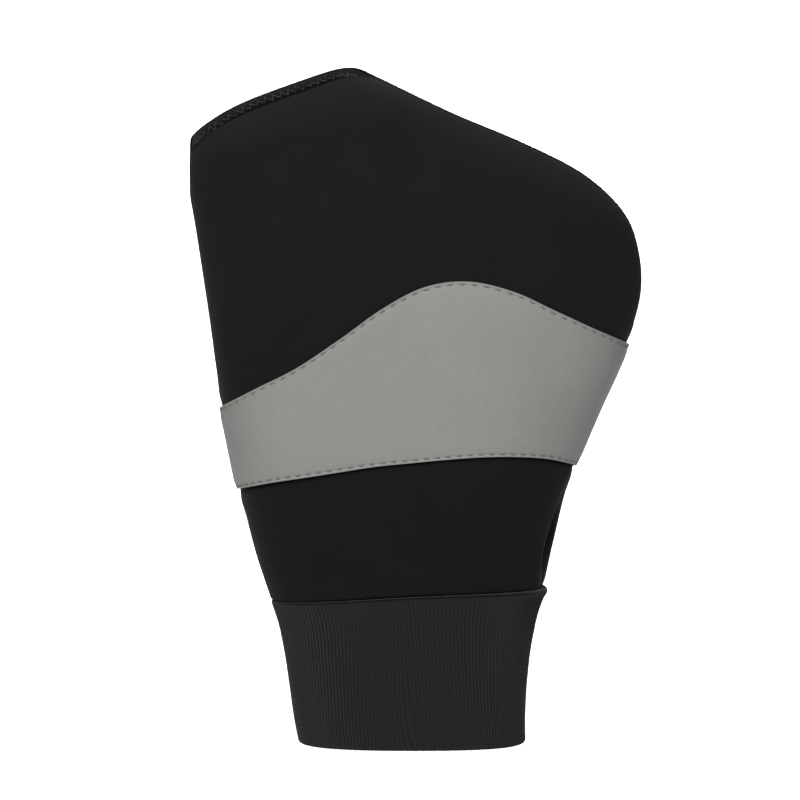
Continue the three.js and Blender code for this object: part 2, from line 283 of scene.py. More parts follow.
def outward(face, turn, rise, step=0.01):
    """The outward direction of a face that is given as a function of turn and rise."""
    around = face(turn + step, rise) - face(turn - step, rise)
    up = face(turn, np.minimum(rise + step, 1)) - face(turn, np.maximum(rise - step, 0))
    return unit(np.cross(around, up))


def under(face, turn, rise, depth):
    """Points at a depth under a face: 0 is the face itself, and less than 0 is outside it."""
    return face(turn, rise) - outward(face, turn, rise) * np.asarray(depth)[..., None]


def shell_face(turn, rise):
    """The shell's outer face, with the right side seam tucked in."""
    turn, rise = np.broadcast_arrays(np.asarray(turn, float), np.asarray(rise, float))
    closeness = np.exp(-((np.arccos(np.cos(turn)) / SEAM_FOLD_REACH) ** 2))
    return under(smooth_shell, turn, rise, closeness * curve(SHELL_SECTIONS["fold"], rise) * SEAM_FOLD)


def cuff_face(turn, rise):
    """The cuff's outer face. rise is 0 at the rim and 1 at the seam."""
    turn, rise = np.broadcast_arrays(np.asarray(turn, float), np.asarray(rise, float))
    row = {name: curve(column, rise) for name, column in CUFF_SECTIONS.items()}
    wander = rise * SHELL_SECTIONS["wander"][0]
    x, y = rounded_section(column_angle(turn, wander), row["square"], row["square"])
    seam = smooth_shell(turn, 0 * rise)[..., 2] - SEAM_GAP
    across = row["left"] + (1 + x) / 2 * (row["right"] - row["left"])
    return np.stack([across * CUFF_WIDTH, y * row["deep"] * CUFF_DEPTH, row["up"] * seam], axis=-1)


def solve(grows, like, halvings=30):
    """For each column, the share at which a function that grows with the share passes 0."""
    low, high = np.zeros_like(like), np.ones_like(like)
    for _ in range(halvings):
        middle = (low + high) / 2
        below = grows(middle) < 0
        low, high = np.where(below, middle, low), np.where(below, high, middle)
    return (low + high) / 2


def band_rise(turn, edge):
    """Where on the shell an edge of the band crosses each column, as a rise."""
    column = BAND_EDGES[edge]

    def height(rise):
        row = section_row(rise)
        angle = column_angle(turn, row["wander"])
        share = (1 + rounded_section(angle, row["left_square"], row["right_square"])[0]) / 2
        straight = column[0] + share * (column[-1] - column[0])
        level = np.where(np.sin(angle) < 0, curve(column, share), straight)
        point = smooth_shell(turn, rise)
        return point[..., 2] + point[..., 1] * BAND_TILT - CUFF_HEIGHT - level * SHELL_HEIGHT

    return solve(height, turn)


def below_mouth(turn, distance):
    """The rise that is a distance below the edge of the mouth on each column."""
    edge = smooth_shell(turn, np.ones_like(turn))
    return solve(lambda rise: distance - np.linalg.norm(smooth_shell(turn, rise) - edge, axis=-1), turn)


def fine_turns(count, start=0.0, end=2 * math.pi):
    """Turns that crowd together at the sides and at the middle of each face, where square sections turn
    fastest."""
    quarter, part = np.divmod(np.linspace(start, end, count) / (math.pi / 2), 1)
    return (quarter + part**3 * (10 - 15 * part + 6 * part**2)) * math.pi / 2


# Columns all round the mitt, on which slow searches are done once
ALL_TURNS = fine_turns(1441)
BAND_TOP = band_rise(ALL_TURNS, "top")
BAND_FOOT = band_rise(ALL_TURNS, "foot")


def on_turns(values, turn):
    """A quantity that was worked out on ALL_TURNS, at other turns."""
    return np.interp(np.mod(turn, 2 * math.pi), ALL_TURNS, values)


def run_along(points):
    """The length run at each point of a line, or of each row of a grid."""
    steps = np.linalg.norm(np.diff(points, axis=-2), axis=-1)
    return np.concatenate([np.zeros_like(steps[..., :1]), np.cumsum(steps, axis=-1)], axis=-1)


def climb(turn, rise, step=0.004):
    """Metres along a column for each unit of rise."""
    high, low = np.minimum(rise + step, 1), np.maximum(rise - step, 0)
    return np.linalg.norm(smooth_shell(turn, high) - smooth_shell(turn, low), axis=-1) / (high - low)


def bump(distance, at, reach):
    """A smooth swelling of height 1."""
    return np.exp(-(((distance - at) / reach) ** 2))


def waves(parts, around, up):
    """Slow waves, added up, at angles around the mitt and places up it."""
    return sum(size * np.sin(count * around + drift * up + start) for size, count, drift, start in parts)


def to_right(turn):
    """A share that is 1 at the right side seam and 0 at the left one."""
    return (1 + np.cos(turn)) / 2


def cloth_relief(turn, rise):
    """How far the padded cloth stands out of its smooth form."""
    speed = climb(turn, rise)
    above = (rise - on_turns(BAND_TOP, turn)) * speed
    below = (on_turns(BAND_FOOT, turn) - rise) * speed
    swell = BAND_SWELL * sum(bump(side, BAND_SWELL_AT, BAND_SWELL_REACH) for side in (above, below))
    pinch = SEAM_PINCH * to_right(turn) * bump(rise * speed, 0, SEAM_PINCH_REACH)
    pinch += BAND_PINCH * bump(below, 0, BAND_PINCH_REACH)
    from_ends = np.sin(math.pi * np.clip(rise, 0, 1))
    return swell - pinch + waves(CLOTH_WAVES, turn, rise) * from_ends


def band_relief(turn, rise):
    """The part of that relief that the stiffer band follows."""
    return np.clip(cloth_relief(turn, rise), BAND_RELIEF_LOW, BAND_RELIEF_HIGH)


def band_crown(from_edge):
    """How far the band's face stands proud at a distance from its edge."""
    return BAND_CROWN * (1 - bump(from_edge, 0, BAND_CROWN_REACH))


def wall_at(from_mouth):
    """How thick the shell's wall is at a distance from the edge of the mouth."""
    share = np.clip(from_mouth / MOUTH_TAPER, 0, 1)
    return MOUTH_WALL + (SHELL_WALL - MOUTH_WALL) * share * share * (3 - 2 * share)


def rolled(distance, radius):
    """How deep a rounded edge lies at a distance from it."""
    return radius - np.sqrt(np.maximum(radius**2 - (radius - np.minimum(distance, radius)) ** 2, 0))


def edge_steps(radius):
    """Distances from an edge that is rolled at a radius, closer together next to it."""
    return np.array([0, 0.03, 0.11, 0.25, 0.43, 0.68, 1.0, 1.5]) * radius


def even_turns(face, rise, count):
    """Turns that lie evenly along a face's section at a rise, with both ends, and the length all round."""
    dense = fine_turns(4001)
    run = run_along(face(dense, np.full_like(dense, rise)))
    return np.interp(np.linspace(0, run[-1], count), run, dense), run[-1]


def mesh_object(name, points, quads, cloth=None):
    """A smooth mesh. cloth gives each corner of each face its place on the flat cloth, in metres, and as its
    third number how far its colour goes over to the near-black of the inner cloth and of painted shade."""
    mesh = bpy.data.meshes.new(name)
    mesh.vertices.add(len(points))
    mesh.vertices.foreach_set("co", np.asarray(points, np.float32).ravel())
    mesh.loops.add(quads.size)
    mesh.loops.foreach_set("vertex_index", quads.astype(np.int32).ravel())
    mesh.polygons.add(len(quads))
    mesh.polygons.foreach_set("loop_start", np.arange(0, quads.size, quads.shape[1], dtype=np.int32))
    mesh.polygons.foreach_set("use_smooth", np.ones(len(quads), bool))
    mesh.update(calc_edges=True)
    if cloth is not None:
        places = mesh.attributes.new("cloth", "FLOAT_VECTOR", "CORNER")
        places.data.foreach_set("vector", cloth.astype(np.float32).ravel())
    mesh.validate()
    piece = bpy.data.objects.new(name, mesh)
    bpy.context.scene.collection.objects.link(piece)
    return piece


def grid_quads(grid):
    """The four corners of each cell of a grid, of vertex numbers or of anything else."""
    corners = np.stack([grid[:-1, :-1], grid[:-1, 1:], grid[1:, 1:], grid[1:, :-1]], axis=2)
    return corners.reshape(-1, 4, *grid.shape[2:])


def wall_object(name, outer, inner, places, ring, lining_and_painted_shade=0.0, shade=0.0):
    """A closed wall between two grids of points that meet along their open edges. places is where each grid
    point lies on the flat cloth, and on a ring it has one more column than the grids. The last two arguments
    are how far the colours of the inner and the outer face go over to the near-black of the inner cloth and
    of painted shade."""
    rows, columns = outer.shape[:2]
    index = np.arange(rows * columns).reshape(rows, columns)
    behind = index + rows * columns
    behind[0], behind[-1] = index[0], index[-1]
    if ring:
        index, behind = (np.concatenate([grid, grid[:, :1]], axis=1) for grid in (index, behind))
    else:
        behind[:, 0], behind[:, -1] = index[:, 0], index[:, -1]
    quads = np.concatenate([grid_quads(index), grid_quads(behind)[:, ::-1]])
    outside = np.dstack([places, np.broadcast_to(shade, places.shape[:2])])
    inside = np.dstack([places, np.broadcast_to(lining_and_painted_shade, places.shape[:2])])
    points = np.concatenate([outer.reshape(-1, 3), inner.reshape(-1, 3)])
    used, compact = np.unique(quads, return_inverse=True)
    spots = np.concatenate([grid_quads(outside), grid_quads(inside)[:, ::-1]])
    return mesh_object(name, points[used], compact.reshape(quads.shape), spots)


def tube_object(name, paths, radius, sides=8, taper=0.5):
    """Threads along paths, each with the same number of points. Their ends are thinner by taper."""
    paths = np.asarray(paths)
    count, steps = paths.shape[:2]
    across_all = [0.3, 0.5, 0.81]  # a direction that no thread runs in
    along = unit(np.gradient(paths, axis=1))
    aside = unit(np.cross(along, across_all))
    upward = np.cross(along, aside)
    angles = np.arange(sides) * 2 * math.pi / sides
    share = np.linspace(-1, 1, steps)
    radii = radius * (1 - taper * share**8)
    circle = np.cos(angles)[:, None] * aside[:, :, None] + np.sin(angles)[:, None] * upward[:, :, None]
    rings = paths[:, :, None] + circle * radii[None, :, None, None]
    index = np.arange(count * steps * sides).reshape(count, steps, sides)
    wrapped = np.concatenate([index, index[:, :, :1]], axis=2)
    quads = np.concatenate([grid_quads(grid) for grid in wrapped])
    caps = []
    for end in (index[:, 0, ::-1], index[:, -1]):
        for k in range(1, sides - 2, 2):
            caps.append(end[:, [0, k, k + 1, k + 2]])
    return mesh_object(name, rings.reshape(-1, 3), np.concatenate([quads, *caps]))


def new_material(name, colour, roughness, sheen=0.0, sheen_roughness=0.5, specular=0.5, flatness=0.0):
    """A material with its Principled shader, whose even values are set on the shader's own sockets. flatness
    is how little the shade falls off on slanted faces, as on rough cloth."""
    material = bpy.data.materials.new(name)
    material.use_nodes = True
    shader = material.node_tree.nodes["Principled BSDF"]
    shader.inputs["Base Color"].default_value = (*colour, 1)
    shader.inputs["Roughness"].default_value = roughness
    shader.inputs["Sheen Weight"].default_value = sheen
    shader.inputs["Sheen Roughness"].default_value = sheen_roughness
    shader.inputs["Specular IOR Level"].default_value = specular
    shader.inputs["Diffuse Roughness"].default_value = flatness
    material.diffuse_color = (*colour, 1)
    return material


class Nodes:
    """Short ways to add nodes to a material."""

    def __init__(self, material):
        self.tree = material.node_tree
        self.shader = self.tree.nodes["Principled BSDF"]

    def add(self, kind, inputs=(), **settings):
        """A node with its settings, whose inputs are values or the outputs of other nodes."""
        node = self.tree.nodes.new(kind)
        for name, value in settings.items():
            setattr(node, name, value)
        for key, value in dict(inputs).items():
            if isinstance(value, bpy.types.NodeSocket):
                self.tree.links.new(value, node.inputs[key])
            else:
                node.inputs[key].default_value = value
        return node

    def math(self, operation, *values):
        return self.add("ShaderNodeMath", dict(enumerate(values)), operation=operation).outputs[0]

    def object_place(self):
        return self.add("ShaderNodeTexCoord").outputs["Object"]

    def cloth_place(self):
        """X along and Y up the flat cloth, in metres, and Z, the share of the near-black of the inner cloth
        and of painted shade.
        """
        place = self.add("ShaderNodeAttribute", attribute_name="cloth").outputs["Vector"]
        return self.add("ShaderNodeSeparateXYZ", {"Vector": place}).outputs

    def noise(self, place, size, detail, roughness=0.5):
        """Noise from 0 to 1 whose grains have about the given size, in metres."""
        inputs = {"Vector": place, "Scale": 1 / size, "Detail": detail, "Roughness": roughness}
        return self.add("ShaderNodeTexNoise", inputs).outputs[0]

    def between(self, share, dark, light):
        """A colour between two others, each of them three numbers or another node's colour."""
        node = self.add("ShaderNodeMix", data_type="RGBA")
        sockets = {socket.identifier: socket for socket in node.inputs}
        self.tree.links.new(share, sockets["Factor_Float"])
        for key, colour in (("A_Color", dark), ("B_Color", light)):
            if isinstance(colour, bpy.types.NodeSocket):
                self.tree.links.new(colour, sockets[key])
            else:
                sockets[key].default_value = (*colour, 1)
        return next(socket for socket in node.outputs if socket.identifier == "Result_Color")

    def span(self, value, low, high, to_low=0.0, to_high=1.0):
        """A value's place between low and high, carried over to the place between two others."""
        inputs = {"Value": value, "From Min": low, "From Max": high, "To Min": to_low, "To Max": to_high}
        return self.add("ShaderNodeMapRange", inputs).outputs["Result"]

    def bump(self, height, distance, before=None):
        """A bump whose heights are up to a distance in metres, on top of the one before."""
        inputs = {"Height": height, "Distance": distance}
        if before is not None:
            inputs["Normal"] = before
        return self.add("ShaderNodeBump", inputs).outputs["Normal"]

    def feed(self, **sockets):
        """Links outputs to the shader."""
        names = {"colour": "Base Color", "roughness": "Roughness", "normal": "Normal"}
        for name, value in sockets.items():
            self.tree.links.new(value, self.shader.inputs[names[name]])


def knit_height(nodes, place, wale, course):
    """The V-shaped stitches of a fine knit, as heights from 0 to 1. wale is the width of a stitch and course
    its height."""
    across = nodes.math("MULTIPLY", place["X"], math.pi / wale)
    lean = nodes.math("ABSOLUTE", nodes.math("SINE", across))
    along = nodes.math("MULTIPLY", place["Y"], 2 * math.pi / course)
    slanted = nodes.math("ADD", along, nodes.math("MULTIPLY", lean, KNIT_SLANT))
    loops = nodes.math("MULTIPLY_ADD", nodes.math("SINE", slanted), 0.3, 0.5)  # from 0.2 to 0.8
    crown = nodes.math("MULTIPLY_ADD", lean, 0.6, 0.4)  # from 0.4 between the stitches to 1 in their middle
    return nodes.math("MULTIPLY", loops, crown)


def softshell_material(name="softshell", tone=1.0):
    """Matte black jersey over foam, with a fine knit face and a soft nap. tone multiplies its colours."""
    # the near-black of the lining, which is also the colour of all the painted shade on this cloth
    lining_and_painted_shade = tuple(tone * v for v in (0.0015, 0.0015, 0.0016))
    dark = tuple(tone * v for v in (0.0078, 0.0078, 0.008))
    light = tuple(tone * v for v in (0.0152, 0.0152, 0.0154))
    # the paler colour of the painted highlight just below the mouth
    rim = tuple(tone * v for v in (0.021, 0.021, 0.0213))
    material = new_material(name, light, 0.74, sheen=0.015, sheen_roughness=0.4, specular=0.07, flatness=1.0)
    nodes = Nodes(material)
    spot = nodes.object_place()
    nodes.shader.inputs["Sheen Tint"].default_value = (0.55, 0.55, 0.58, 1)
    height = nodes.add("ShaderNodeSeparateXYZ", {"Vector": spot}).outputs["Z"]
    # painted light: the cloth paler towards the top and darker towards the cuff
    painted_top_light = nodes.span(height, PAINTED_LIGHT_FROM, PAINTED_LIGHT_TO, 0.15, 0.65)
    # random clouds of tone over that painted light
    cloudy = nodes.math("MULTIPLY_ADD", nodes.noise(spot, size=0.03, detail=3), 0.3, painted_top_light)
    place = nodes.cloth_place()
    face = nodes.between(cloudy, dark, light)
    # painted highlight on the cloth just below the mouth
    face = nodes.between(nodes.span(place["Y"], SHELL_HEIGHT - RIM_PAINTED_LIGHT, SHELL_HEIGHT), face, rim)
    knit = nodes.bump(knit_height(nodes, place, wale=0.0006, course=0.0007), distance=0.00006)
    nodes.feed(
        # Z takes the colour over to that near-black, for the lining and for painted shade
        colour=nodes.between(place["Z"], face, lining_and_painted_shade),
        roughness=nodes.span(nodes.noise(spot, size=0.012, detail=2), 0.3, 0.7, 0.7, 0.8),
        normal=nodes.bump(nodes.noise(spot, size=0.0009, detail=2), distance=0.00004, before=knit),
    )
    return material


def rib_knit_material():
    """Charcoal rib knit, with the yarn's loops along each rib. X on its cloth is 1 all round the cuff."""
    middle = (0.015, 0.0146, 0.0144)
    # groove and crest: the knit painted darker in the grooves between its ribs and paler on their crests,
    # painted shade and light
    groove, crest = (0.0068, 0.0066, 0.0065), (0.0275, 0.0267, 0.0262)
    # the near-black of the painted shade under the seam
    seam_shade_colour = (0.003, 0.003, 0.003)
    material = new_material("rib_knit", middle, 0.9, sheen=0.12, specular=0.12, flatness=0.5)
    nodes = Nodes(material)
    spot = nodes.object_place()
    place = nodes.cloth_place()
    loops = knit_height(nodes, place, wale=1 / RIBS, course=0.0011)
    fuzz = nodes.noise(spot, size=0.0005, detail=3, roughness=0.7)
    ridge = nodes.math("ABSOLUTE", nodes.math("COSINE", nodes.math("MULTIPLY", place["X"], math.pi * RIBS)))
    yarn = nodes.math("MULTIPLY_ADD", fuzz, 0.5, nodes.math("MULTIPLY", loops, 0.35))
    # shade: the painted shade of the grooves with the yarn's random tone and stitch pattern
    shade = nodes.math("MULTIPLY_ADD", ridge, 0.5, nodes.math("ADD", yarn, -0.18))
    # painted shade where the knit is tucked into the seam
    painted_seam_shade = nodes.span(place["Y"], CUFF_HEIGHT - SEAM_SHADE, CUFF_HEIGHT - SEAM_SHADE / 4)
    nodes.feed(
        colour=nodes.between(painted_seam_shade, nodes.between(shade, groove, crest), seam_shade_colour),
        normal=nodes.bump(fuzz, distance=0.00012, before=nodes.bump(loops, distance=0.00022)),
    )
    return material


def band_material():
    """Warm grey coated leather with a fine pebbled grain."""
    dark, middle, light = (0.268, 0.26, 0.249), (0.288, 0.28, 0.268), (0.308, 0.3, 0.288)
    pebble_size = 0.0008
    material = new_material("band_leather", middle, 0.6, specular=0.35)
    nodes = Nodes(material)
    spot = nodes.object_place()
    cloudy = nodes.noise(spot, size=0.03, detail=4)
    mottle = nodes.noise(spot, size=0.0022, detail=3, roughness=0.6)
    grain = {"Vector": spot, "Scale": 1 / pebble_size}
    pebbles = nodes.add("ShaderNodeTexVoronoi", grain, feature="SMOOTH_F1").outputs["Distance"]
    shade = nodes.math("MULTIPLY_ADD", mottle, 0.35, nodes.math("MULTIPLY", cloudy, 0.65))
    creases = nodes.bump(nodes.noise(spot, size=0.006, detail=3), distance=0.00012)
    nodes.feed(
        colour=nodes.between(nodes.span(shade, 0.25, 0.75), dark, light),
        roughness=nodes.span(mottle, 0.3, 0.7, 0.52, 0.66),
        normal=nodes.bump(pebbles, distance=0.00008, before=creases),
    )
    return material


def thread_material(name, dark, light, uneven):
    """Spun thread, with its twist as a fine bump. uneven is the length over which its colour changes."""
    material = new_material(name, light, 0.7, sheen=0.1, specular=0.3)
    nodes = Nodes(material)
    spot = nodes.object_place()
    fuzz = nodes.noise(spot, size=0.0003, detail=2)
    shade = nodes.span(nodes.noise(spot, size=uneven, detail=1), 0.35, 0.65)
    nodes.feed(colour=nodes.between(shade, dark, light), normal=nodes.bump(fuzz, distance=0.00008))
    return material


def floor_material():
    """A plain pale studio floor with the faintest unevenness."""
    material = new_material("studio_floor", (0.86, 0.86, 0.86), 0.9, specular=0.1)
    nodes = Nodes(material)
    cloudy = nodes.noise(nodes.object_place(), size=0.5, detail=2)
    nodes.feed(colour=nodes.between(cloudy, (0.85, 0.85, 0.85), (0.87, 0.87, 0.87)))
    return material


def finish_piece(piece, material, slot, *nodes):
    """Puts a piece on the frame: its material, its body and the solids that it stands for. slot is not used.
    """
    piece.data.materials.append(material)
    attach(piece, "root")
    if nodes:
        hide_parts(*nodes)
    return piece


def panel_levels(coarse=0.0017, fine=0.0004):
    """The rows of a panel, as shares of its height, closest together where the band's lower edge runs."""
    marks = [0, BAND_FOOT_FROM, BAND_FOOT_TO, 1]
    stretches = []
    for low, high, step in zip(marks, marks[1:], (coarse, fine, coarse)):
        count = round((high - low) * SHELL_HEIGHT / step)
        stretches.append(np.linspace(low, high, count, endpoint=False))
    return np.concatenate(stretches)[1:]


def painted_panel_shade(turn, rise, from_mouth):
    """How far the outer cloth's colour goes over to the inner cloth's near-black as painted shade: just under
    the band, in the tuck of the right side seam and on the fold round the mouth."""
    below_band = (on_turns(BAND_FOOT, turn) - rise) * climb(turn, rise)
    # painted shadow on the cloth just under the band's lower edge
    painted_band_shadow = bump(below_band, BAND_SHADE_AT, BAND_SHADE_REACH)
    # painted shade in the tuck of the right side seam, on the palm's side only
    painted_seam_shade = TUCK_SHADE * bump(turn, 0, TUCK_SHADE_REACH) * curve(SHELL_SECTIONS["fold"], rise)
    # painted shade along the fold round the mouth, wider in its corners
    reach = RIM_SHADE_REACH * (1 + RIM_SHADE_GROWTH * (1 - np.abs(np.sin(turn))))
    rim = RIM_SHADE * bump(from_mouth, 0, reach)
    return np.maximum(np.maximum(painted_band_shadow, painted_seam_shade), rim)


def panel(name, start, columns=150):
    """Half of the shell, from the side seam at one turn to the other, with rolled edges all round."""
    side = edge_steps(SIDE_ROLL)
    low, high = edge_steps(SEAM_ROLL), edge_steps(MOUTH_WALL / 2)
    level = np.concatenate([0 * low, panel_levels(), 1 + 0 * high])
    dense = fine_turns(2001, start, start + math.pi)
    run = run_along(shell_face(*np.meshgrid(dense, level)))
    turn, along = [], []
    for row in run:
        last = row[-1] - side[::-1]
        middle = np.linspace(side[-1], last[0], columns)[1:-1]
        along.append(np.concatenate([side, middle, last]))
        turn.append(np.interp(along[-1], row, dense))
    turn, along = np.array(turn), np.array(along)
    from_side = np.minimum(along, run[:, -1:] - along)
    speed_low, speed_high = climb(turn, 0 * turn), climb(turn, 0 * turn + 1)
    rise_low = low[-1] / speed_low
    rise_high = 1 - high[-1] / speed_high
    rise = rise_low + level[:, None] * (rise_high - rise_low)
    rise[: len(low)] = low[:, None] / speed_low[: len(low)]
    rise[-len(high) :] = 1 - high[::-1, None] / speed_high[-len(high) :]
    from_seam, from_mouth = rise * speed_low, (1 - rise) * speed_high
    roll = np.maximum(rolled(from_side, SIDE_ROLL), rolled(from_seam, SEAM_ROLL))
    wall = wall_at(from_mouth)
    roll = np.minimum(np.maximum(roll, rolled(from_mouth, MOUTH_WALL / 2)), wall / 2)
    relief = cloth_relief(turn, rise)
    edge = np.minimum(np.minimum(from_side, from_seam), from_mouth) < ON_EDGE
    outer = under(shell_face, turn, rise, roll - relief)
    inner = under(shell_face, turn, rise, np.where(edge, roll, wall - roll) - relief)
    places = np.stack([along, rise * SHELL_HEIGHT], axis=-1)
    # deeper in, the inner face goes over to the near-black lining, which also paints the shade inside the
    # mouth
    lining_and_painted_shade = np.clip((from_mouth - MOUTH_LINING) / LINING_BLEND, 0, 1)
    # painted shade on the outer face
    shade = painted_panel_shade(turn, rise, from_mouth)
    return wall_object(name, outer, inner, places, ring=False, lining_and_painted_shade=lining_and_painted_shade, shade=shade)


def ring_object(name, turn, rise, outer_depth, inner_depth, along, lining_and_painted_shade=0.0):
    """A closed ring over the shell. turn has both ends of the ring, and so have along and the last argument,
    the inner face's share of the near-black of the inner cloth and of painted shade.
    """
    open_rise = rise[:, :-1]
    open_turn = np.broadcast_to(turn[:-1], open_rise.shape)
    outer = under(shell_face, open_turn, open_rise, outer_depth[:, :-1])
    inner = under(shell_face, open_turn, open_rise, inner_depth[:, :-1])
    height = np.cumsum(np.concatenate([[0], np.abs(np.diff(rise.mean(axis=1)))])) * SHELL_HEIGHT
    places = np.stack(np.meshgrid(along, height), axis=-1)
    return wall_object(name, outer, inner, places, ring=True, lining_and_painted_shade=lining_and_painted_shade)


def line_round(rise_of, depth, samples=2880):
    """A closed line round the shell, at a depth under it: its turns, its rises and the length run."""
    turn = fine_turns(samples + 1)
    rise = rise_of(turn)
    return turn, rise, run_along(under(shell_face, turn, rise, np.full_like(turn, depth)))


def stitch_line(edge):
    """The stitch line along an edge of the band."""
    values, sign = (BAND_TOP, -1) if edge == "top" else (BAND_FOOT, 1)

    def rise_of(turn):
        rise = on_turns(values, turn)
        return rise + sign * STITCH_INSET / climb(turn, rise)

    return line_round(rise_of, -BAND_SEAT - BAND_THICKNESS)


def stitch_centres(run, edge):
    """Where on a stitch line the middle of each stitch lies."""
    count = round(run[-1] / STITCH_PITCH[edge])
    return (np.arange(count) + 0.5) * run[-1] / count


def needle_holes(turn, edge):
    """How close each turn is to a needle's hole on a stitch line, as a share."""
    line_turn, _, run = stitch_line(edge)
    place = np.interp(turn, line_turn, run)
    centres = stitch_centres(run, edge)
    pitch = centres[1] - centres[0]
    offset = np.abs(np.mod(place - centres[0] + pitch / 2, pitch) - pitch / 2)
    return bump(offset, STITCH_LENGTH / 2, HOLE_REACH)


def knuckle_band(columns=840, middle_rows=22):
    """The grey band: a closed loop with rolled edges, and along each edge a sunk line of stitches."""
    turn, length = even_turns(shell_face, rise=0.45, count=columns + 1)
    foot, top = on_turns(BAND_FOOT, turn), on_turns(BAND_TOP, turn)
    near_edge = np.concatenate([edge_steps(BAND_EDGE_ROLL), STITCH_ROWS])
    foot_side = foot + near_edge[:, None] / climb(turn, foot)
    top_side = top - near_edge[::-1, None] / climb(turn, top)
    share = np.linspace(0, 1, middle_rows)[1:-1, None]
    rise = np.concatenate([foot_side, foot_side[-1] + share * (top_side[0] - foot_side[-1]), top_side])
    on_row = np.broadcast_to(near_edge[:, None], (len(near_edge), len(turn)))
    far = np.ones((middle_rows - 2 + len(near_edge), len(turn)))
    from_foot = np.concatenate([on_row, far])
    from_top = from_foot[::-1]
    near = np.minimum(from_foot, from_top)
    sink = STITCH_SINK * bump(near, STITCH_INSET, STITCH_SINK_REACH)
    for edge, distance in (("foot", from_foot), ("top", from_top)):
        sink = sink + HOLE_SINK * needle_holes(turn, edge) * bump(distance, STITCH_INSET, HOLE_REACH)
    outer = rolled(near, BAND_EDGE_ROLL) + sink - band_crown(near) - BAND_SEAT - BAND_THICKNESS
    inner = np.where(near < ON_EDGE, outer, -BAND_SEAT + 0 * near)
    relief = band_relief(np.broadcast_to(turn, rise.shape), rise)
    along = np.linspace(0, length, len(turn))
    return ring_object("knuckle_band_grey", turn, rise, outer - relief, inner - relief, along)


def band_stitches(points_per_stitch=9):
    """The threads along both edges of the band: short stitches that dive into their holes."""
    share = np.linspace(-1, 1, points_per_stitch)
    lift = THREAD_LIFT - THREAD_DIVE * share**6
    paths = []
    for edge in ("foot", "top"):
        turn, rise, run = stitch_line(edge)
        spots = stitch_centres(run, edge)[:, None] + share * (STITCH_LENGTH / 2 + BAND_THREAD)
        turns, rises = np.interp(spots, run, turn), np.interp(spots, run, rise)
        groove = STITCH_SINK - band_crown(STITCH_INSET) - BAND_SEAT - BAND_THICKNESS
        paths.append(under(shell_face, turns, rises, groove - lift - band_relief(turns, rises)))
    return tube_object("band_stitches", np.concatenate(paths), BAND_THREAD)


def mouth_hem(columns=400, middle_rows=14):
    """The turned edge inside the mouth, with painted shade on its foot and darker painted shade in the
    mouth's corners.
    """
    turn, length = even_turns(shell_face, rise=1.0, count=columns + 1)
    edge = edge_steps(HEM_TAPE)
    middle = np.linspace(edge[-1], HEM_HEIGHT - edge[-1], middle_rows)[1:-1]
    down = np.concatenate([edge, middle, HEM_HEIGHT - edge[::-1]])[::-1]
    rise = np.array([below_mouth(turn, HEM_DROP + distance) for distance in down])
    near = np.minimum(down, HEM_HEIGHT - down)[:, None] + 0 * rise
    seat = wall_at(HEM_DROP + down)[:, None] + 0 * rise
    inner = seat + HEM_TAPE - rolled(near, HEM_TAPE)
    outer = np.where(near < ON_EDGE, inner, seat)
    along = np.linspace(0, length, len(turn))
    # painted shade: darker towards the strip's foot, darkest in the corners of the mouth
    deep = np.clip((down - HEM_SHADE_FROM) / (HEM_SHADE_TO - HEM_SHADE_FROM), 0, 1)[:, None]
    left = bump(turn, math.pi, CORNER_REACH_LEFT)
    right = bump(np.arccos(np.cos(turn)), 0, CORNER_REACH_RIGHT)
    dark = deep * np.maximum(HEM_SHADE, np.maximum(left, right))
    return ring_object("mouth_hem_strip", turn, rise, outer, inner, along, dark)


def hem_zigzag(points_per_stroke=7):
    """The zigzag thread round the inside of the mouth."""
    middle = ZIGZAG_TOP + ZIGZAG_HEIGHT / 2
    turn, rise, run = line_round(lambda turns: below_mouth(turns, middle), MOUTH_WALL)
    strokes = 2 * round(run[-1] / ZIGZAG_STEP / 2)
    place = np.linspace(0, 1, strokes * points_per_stroke + 1)
    swing = 1 - np.abs(np.mod(place * strokes, 2) - 1)
    turns = np.interp(place * run[-1], run, turn)
    down = ZIGZAG_TOP + ZIGZAG_HEIGHT * swing + ZIGZAG_UNEVEN * np.sin(ZIGZAG_BEAT * strokes * place)
    sink = ZIGZAG_SINK * (2 * swing - 1) ** 4
    depth = wall_at(down) + HEM_TAPE + ZIGZAG_PROUD - sink
    path = under(shell_face, turns, below_mouth(turns, down), depth)
    return tube_object("hem_zigzag_thread", path[None], ZIGZAG_THREAD, sides=6, taper=0)


